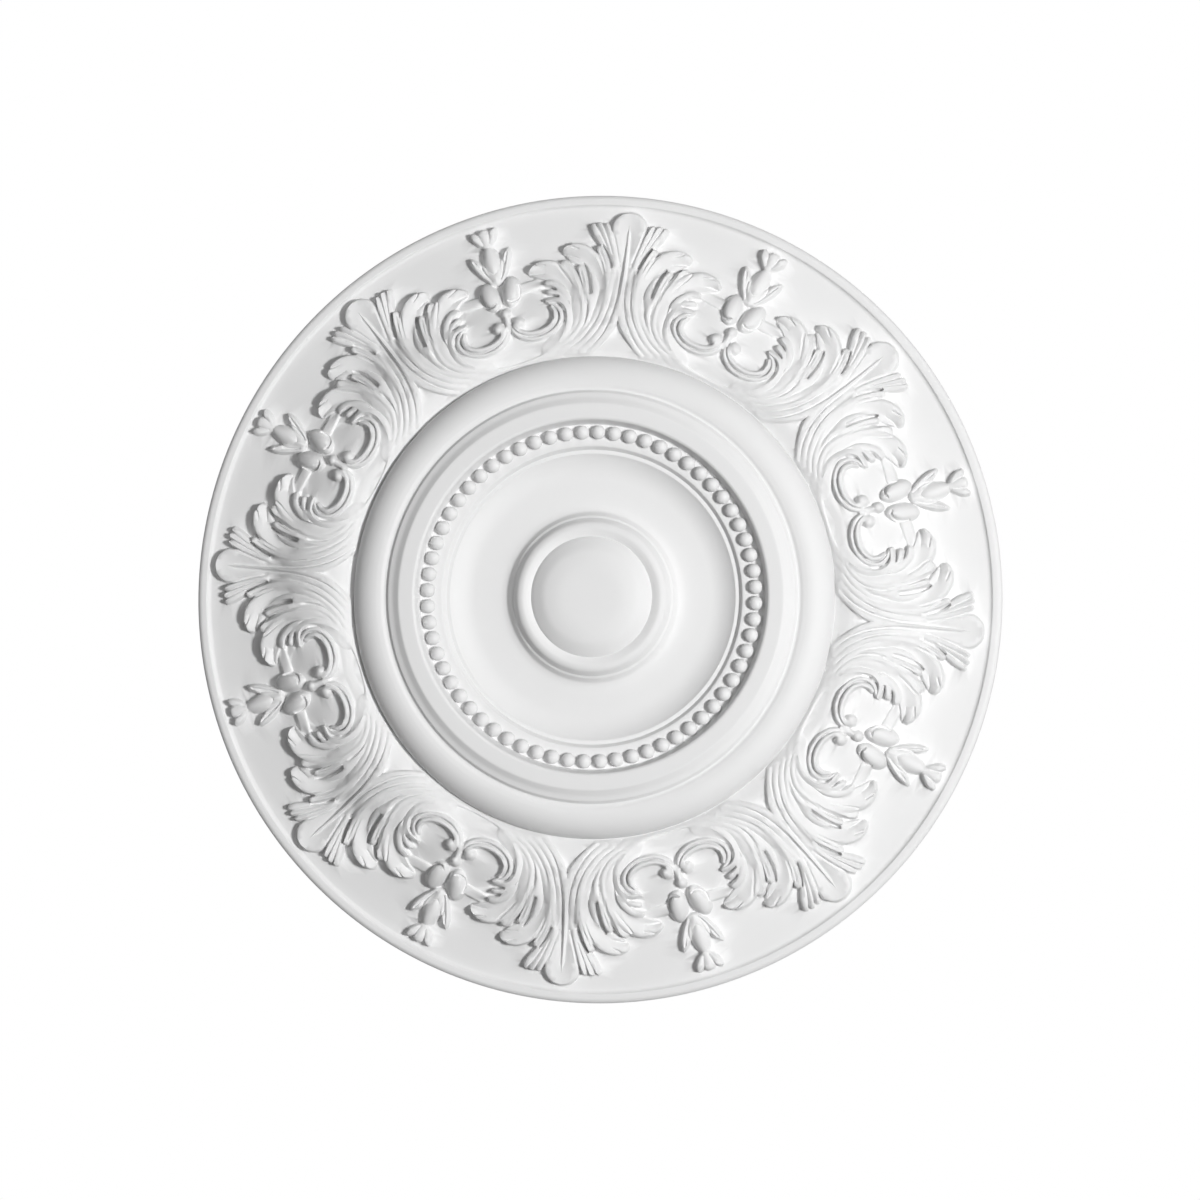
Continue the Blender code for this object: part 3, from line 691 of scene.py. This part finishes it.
def raise_carving(bm):
    """Moves the band's vertices out to the carved surface."""
    verts = [vert for vert in bm.verts if in_band(vert)]
    places = np.array([vert.co for vert in verts]) / MM
    radius = np.hypot(places[:, 0], places[:, 1])
    angle = np.arctan2(places[:, 1], places[:, 0])
    for vert, height in zip(verts, carving(radius, angle)):
        vert.co.z -= height * MM
    inner = [vert for vert in verts if not vert.is_boundary]
    for _ in range(SOFTENINGS):
        bmesh.ops.smooth_vert(bm, verts=inner, factor=0.5, use_axis_z=True)


def thinned(bm, kept):
    """The sector with the facets of the band thinned where it is plain, down to a number of facets."""
    dense = bpy.data.meshes.new("dense_sector")
    bmesh.ops.triangulate(bm, faces=bm.faces)
    bm.to_mesh(dense)
    bm.clear()
    sector = placed(dense, "sector")
    carved = sector.vertex_groups.new(name="carved")
    carved.add([vert.index for vert in dense.vertices if in_band(vert)], 1.0, "REPLACE")
    decimate = sector.modifiers.new("thin", "DECIMATE")
    decimate.vertex_group = carved.name
    decimate.ratio = kept / len(dense.polygons)
    graph = bpy.context.evaluated_depsgraph_get()
    thin = bpy.data.meshes.new_from_object(sector.evaluated_get(graph))
    bm.from_mesh(thin)
    bpy.data.objects.remove(sector)
    bpy.data.meshes.remove(dense)
    bpy.data.meshes.remove(thin)


def square_cuts(bm):
    """Sets the open edges of the sector exactly on its two cutting planes, with no facet lying in them."""
    far = Vector((-math.sin(SECTOR), math.cos(SECTOR), 0))
    near = Vector((0, 1, 0))
    for vert in bm.verts:
        if not vert.is_boundary:
            continue
        if vert.co.xy.length < MM / 10:
            vert.co.x = 0
            vert.co.y = 0
        normal = near if abs(vert.co.dot(near)) < abs(vert.co.dot(far)) else far
        vert.co -= normal * vert.co.dot(normal)
    flat = []
    for face in bm.faces:
        reaches = [max(abs(vert.co.dot(normal)) for vert in face.verts) for normal in (near, far)]
        if min(reaches) < 1e-7:
            flat.append(face)
    bmesh.ops.delete(bm, geom=flat, context="FACES")


def repeat_round(bm):
    """Mirrors the sector and turns the pair round to the whole rose."""
    half = list(bm.verts) + list(bm.edges) + list(bm.faces)
    mirrored = bmesh.ops.duplicate(bm, geom=half)["geom"]
    turned = [item for item in mirrored if isinstance(item, bmesh.types.BMVert)]
    bmesh.ops.scale(bm, vec=(1, -1, 1), verts=turned)
    bmesh.ops.reverse_faces(bm, faces=[item for item in mirrored if isinstance(item, bmesh.types.BMFace)])
    pair = list(bm.verts) + list(bm.edges) + list(bm.faces)
    for repeat in range(1, REPEATS):
        copy = bmesh.ops.duplicate(bm, geom=pair)["geom"]
        verts = [item for item in copy if isinstance(item, bmesh.types.BMVert)]
        bmesh.ops.rotate(bm, matrix=Matrix.Rotation(2 * SECTOR * repeat, 3, "Z"), verts=verts)
    bmesh.ops.remove_doubles(bm, verts=bm.verts, dist=1e-6)
    bmesh.ops.recalc_face_normals(bm, faces=bm.faces)


def add_pearls(bm):
    """Sets the pearls in their channel, sunk to just above their widest line."""
    ring = bmesh.new()
    pitch = math.tau / PEARL_COUNT
    across = PEARL_RING_R * math.cos(pitch / 2)
    aside = PEARL_RING_R * math.sin(pitch / 2)
    place = Matrix.Translation(Vector((across, aside, -PEARL_CENTRE_H)) * MM)
    bmesh.ops.create_uvsphere(ring, u_segments=18, v_segments=12, radius=PEARL_R * MM, matrix=place)
    bmesh.ops.spin(ring, geom=list(ring.faces), axis=(0, 0, 1), angle=math.tau - pitch,
                   steps=PEARL_COUNT - 1, use_duplicate=True)
    mesh = bpy.data.meshes.new("pearls")
    ring.to_mesh(mesh)
    ring.free()
    bm.from_mesh(mesh)
    bpy.data.meshes.remove(mesh)


# Materials


def primed_polyurethane(props):
    """Hard polyurethane moulded in one pour and sprayed with white primer: an even, chalky matt white with a
    very fine spray grain and hardly any sheen."""
    material = bpy.data.materials.new("primed_polyurethane")
    material.use_nodes = True
    tree = material.node_tree
    shader = tree.nodes["Principled BSDF"]
    shader.inputs["IOR"].default_value = 1.45
    place = node(tree, "ShaderNodeTexCoord")
    # primer lies a little thicker in some patches, about 60 mm across
    patches = node(tree, "ShaderNodeTexNoise", [("Vector", place.outputs["Object"])],
                   Scale=1 / (60 * MM), Detail=3.0, Roughness=0.5)
    tone = node(tree, "ShaderNodeMix", [("Factor", patches.outputs["Fac"])], data_type="RGBA")
    tone.inputs[6].default_value = props.tone_low
    tone.inputs[7].default_value = props.tone_high
    tree.links.new(tone.outputs[2], shader.inputs["Base Color"])
    sheen = node(tree, "ShaderNodeMapRange", [("Value", patches.outputs["Fac"])])
    sheen.inputs["To Min"].default_value = props.roughness - 0.04
    sheen.inputs["To Max"].default_value = props.roughness + 0.04
    tree.links.new(sheen.outputs["Result"], shader.inputs["Roughness"])
    # spray grain, 0.3 mm in truth, drawn at 0.8 mm so that it shows at all
    grain = node(tree, "ShaderNodeTexNoise", [("Vector", place.outputs["Object"])],
                 Scale=1 / (0.8 * MM), Detail=2.0, Roughness=0.6)
    bump = node(tree, "ShaderNodeBump", [("Height", grain.outputs["Fac"])],
                Strength=props.grain, Distance=0.05 * MM)
    tree.links.new(bump.outputs["Normal"], shader.inputs["Normal"])
    return material


def plain_floor():
    """Matt studio floor paint, an even pale grey."""
    material = bpy.data.materials.new("studio_floor_paint")
    material.use_nodes = True
    tree = material.node_tree
    shader = tree.nodes["Principled BSDF"]
    shader.inputs["Roughness"].default_value = 0.8
    place = node(tree, "ShaderNodeTexCoord")
    cloud = node(tree, "ShaderNodeTexNoise", [("Vector", place.outputs["Object"])], Scale=2.0, Detail=2.0)
    tone = node(tree, "ShaderNodeMix", [("Factor", cloud.outputs["Fac"])], data_type="RGBA")
    tone.inputs[6].default_value = linear("#E6E6E6")
    tone.inputs[7].default_value = linear("#ECECEC")
    tree.links.new(tone.outputs[2], shader.inputs["Base Color"])
    return material


# Settings


class RoseSettings(bpy.types.PropertyGroup):
    """Sizes and colours of the casting."""

    facets: bpy.props.IntProperty(
        name="Facets of half a repeat", description="Facets kept in one sixteenth of the casting",
        default=10300, min=3000, max=11000)
    tone_low: bpy.props.FloatVectorProperty(
        name="Darker tone", description="Colour of the primer where it lies thin",
        default=linear("#E3E3E3"), size=4, min=0, max=1, subtype="COLOR")
    tone_high: bpy.props.FloatVectorProperty(
        name="Lighter tone", description="Colour of the primer where it lies thick",
        default=linear("#E7E7E7"), size=4, min=0, max=1, subtype="COLOR")
    roughness: bpy.props.FloatProperty(
        name="Roughness", description="Mean roughness of the primer", default=0.62, min=0, max=1,
        subtype="FACTOR")
    grain: bpy.props.FloatProperty(
        name="Spray grain", description="Strength of the primer's fine grain", default=0.25, min=0, max=1,
        subtype="FACTOR")


class StageSettings(bpy.types.PropertyGroup):
    """Light, floor and camera of the studio."""

    key_power: bpy.props.FloatProperty(
        name="Key light", description="Power of the soft key light", default=76.0, min=0, unit="POWER")
    key_height: bpy.props.FloatProperty(
        name="Key height", description="Angle of the key light above the rose's plane",
        default=math.radians(56), subtype="ANGLE")
    key_size: bpy.props.FloatProperty(
        name="Key size", description="Width of the soft key light", default=0.36, min=0.01, unit="LENGTH")
    fill_power: bpy.props.FloatProperty(
        name="Fill light", description="Power of the weak fill light from the picture's top",
        default=1.5, min=0, unit="POWER")
    ambient: bpy.props.FloatProperty(
        name="Ambient", description="Strength of the even light from below, which the face sees",
        default=0.02, min=0)
    sky: bpy.props.FloatProperty(
        name="Sky", description="Strength of the even light from above, which the back and the floor see",
        default=0.55, min=0)
    distance: bpy.props.FloatProperty(
        name="Camera distance", description="From the camera to the rose", default=2.5, min=0.5,
        unit="LENGTH")
    view_width: bpy.props.FloatProperty(
        name="View width", description="Width that the picture takes in at the rose", default=0.7, min=0.1,
        unit="LENGTH")
    roll: bpy.props.FloatProperty(
        name="Roll", description="Turn of the picture against the rose", default=math.radians(5.25),
        subtype="ANGLE")
    lean_across: bpy.props.FloatProperty(
        name="Lean across", description="How far the camera stands to the right of the rose's axis",
        default=math.radians(5.6), subtype="ANGLE")
    lean_down: bpy.props.FloatProperty(
        name="Lean down", description="How far the camera stands below the rose's axis",
        default=math.radians(1.8), subtype="ANGLE")
    floor_drop: bpy.props.FloatProperty(
        name="Floor drop", description="From the rose's back down to the floor", default=2.6, min=0.1,
        unit="LENGTH")


# Operators


class RoseCasting(bpy.types.Operator):
    """Builds the casting of the ceiling rose with its mouldings, leaves, pendants and pearls"""

    bl_idname = "ceiling_rose.casting"
    bl_label = "Casting"

    def execute(self, context):
        props = context.scene.rose_settings
        profile = boss_profile() + field_profile() + shoulder_profile() + band_profile()
        bm = turned_sector(profile)
        thin_mouldings(bm)
        raise_carving(bm)
        thinned(bm, props.facets)
        square_cuts(bm)
        repeat_round(bm)
        if any(not edge.is_manifold for edge in bm.edges):
            bm.free()
            raise RuntimeError("the casting isn't closed")
        add_pearls(bm)
        mesh = bpy.data.meshes.new("rose_casting")
        bm.to_mesh(mesh)
        bm.free()
        mesh.shade_smooth()
        mesh.set_sharp_from_angle(angle=math.radians(SHARP_ANGLE))
        mesh.materials.append(primed_polyurethane(props))
        casting = placed(mesh, "rose_casting")
        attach(casting, "root")
        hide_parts("ceiling_rose")
        return {"FINISHED"}


class RoseStage(bpy.types.Operator):
    """Builds the floor, the soft studio light and the camera that looks up at the rose"""

    bl_idname = "ceiling_rose.stage"
    bl_label = "Studio stage"

    def execute(self, context):
        props = context.scene.stage_settings
        right = Vector((math.cos(props.roll), -math.sin(props.roll), 0))
        up = Vector((-math.sin(props.roll), -math.cos(props.roll), 0))
        towards = Vector((0, 0, -1))
        self.floor(props)
        self.light(props, right, up, towards)
        self.world(context, props)
        self.camera(context, props, right, up, towards)
        return {"FINISHED"}

    def floor(self, props):
        bm = bmesh.new()
        bmesh.ops.create_grid(bm, x_segments=2, y_segments=2, size=FLOOR_HALF,
                              matrix=Matrix.Translation((0, 0, -props.floor_drop)))
        mesh = bpy.data.meshes.new("studio_floor")
        bm.to_mesh(mesh)
        bm.free()
        mesh.materials.append(plain_floor())
        placed(mesh, "studio_floor")

    def light(self, props, right, up, towards):
        side = right * math.cos(math.radians(KEY_BELOW)) - up * math.sin(math.radians(KEY_BELOW))
        aim = side * math.cos(props.key_height) + towards * math.sin(props.key_height)
        self.lamp("key_light", props.key_size, props.key_power, aim * KEY_DISTANCE)
        aim = up * math.cos(math.radians(FILL_HEIGHT)) + towards * math.sin(math.radians(FILL_HEIGHT))
        self.lamp("fill_light", FILL_SIZE, props.fill_power, aim * FILL_DISTANCE)

    def lamp(self, name, size, power, place):
        lamp = bpy.data.lights.new(name, "AREA")
        lamp.shape = "DISK"
        lamp.size = size
        lamp.energy = power
        light = placed(lamp, name)
        light.location = place
        light.rotation_euler = place.to_track_quat("Z", "Y").to_euler()

    def world(self, context, props):
        world = bpy.data.worlds.new("studio")
        world.use_nodes = True
        tree = world.node_tree
        background = tree.nodes["Background"]
        background.inputs["Color"].default_value = linear("#FFFFFF")
        place = node(tree, "ShaderNodeTexCoord")
        split = node(tree, "ShaderNodeSeparateXYZ", [("Vector", place.outputs["Generated"])])
        rise = node(tree, "ShaderNodeMapRange", [("Value", split.outputs["Z"])])
        rise.inputs["From Min"].default_value = -HORIZON
        rise.inputs["From Max"].default_value = HORIZON
        rise.inputs["To Min"].default_value = props.ambient
        rise.inputs["To Max"].default_value = props.sky
        tree.links.new(rise.outputs["Result"], background.inputs["Strength"])
        white = node(tree, "ShaderNodeBackground", Strength=1.0)
        white.inputs["Color"].default_value = linear("#FFFFFF")
        path = node(tree, "ShaderNodeLightPath")
        mix = node(tree, "ShaderNodeMixShader")
        tree.links.new(path.outputs["Is Camera Ray"], mix.inputs[0])
        tree.links.new(background.outputs[0], mix.inputs[1])
        tree.links.new(white.outputs[0], mix.inputs[2])
        tree.links.new(mix.outputs[0], tree.nodes["World Output"].inputs["Surface"])
        context.scene.world = world
        context.scene.view_settings.view_transform = "Standard"

    def camera(self, context, props, right, up, towards):
        lens = bpy.data.cameras.new("camera")
        lens.sensor_width = 36
        lens.lens = 36 * props.distance / props.view_width
        lens.clip_end = 20
        camera = placed(lens, "camera")
        back = (towards + right * math.tan(props.lean_across) - up * math.tan(props.lean_down)).normalized()
        aim = right * AIM_ACROSS * MM - up * AIM_DOWN * MM
        across = up.cross(back).normalized()
        turn = Matrix((across, back.cross(across), back)).transposed()
        camera.matrix_world = Matrix.Translation(aim + back * props.distance) @ turn.to_4x4()
        context.scene.camera = camera


class RosePanel(bpy.types.Panel):
    """Lists the operators and settings of the ceiling rose"""

    bl_idname = "VIEW3D_PT_ceiling_rose"
    bl_label = "Ceiling rose"
    bl_space_type = "VIEW_3D"
    bl_region_type = "UI"
    bl_category = "Ceiling rose"

    def draw(self, context):
        for operator in (RoseCasting, RoseStage):
            self.layout.operator(operator.bl_idname)
        for group in (context.scene.rose_settings, context.scene.stage_settings):
            for name in group.bl_rna.properties.keys():
                if name not in ("rna_type", "name"):
                    self.layout.prop(group, name)


CLASSES = (RoseSettings, StageSettings, RoseCasting, RoseStage, RosePanel)


def register():
    for item in CLASSES:
        bpy.utils.register_class(item)
    bpy.types.Scene.rose_settings = bpy.props.PointerProperty(type=RoseSettings)
    bpy.types.Scene.stage_settings = bpy.props.PointerProperty(type=StageSettings)


def unregister():
    del bpy.types.Scene.stage_settings
    del bpy.types.Scene.rose_settings
    for item in reversed(CLASSES):
        bpy.utils.unregister_class(item)


def main():
    register()
    bpy.ops.ceiling_rose.casting()
    bpy.ops.ceiling_rose.stage()


if __name__ == "__main__":
    main()
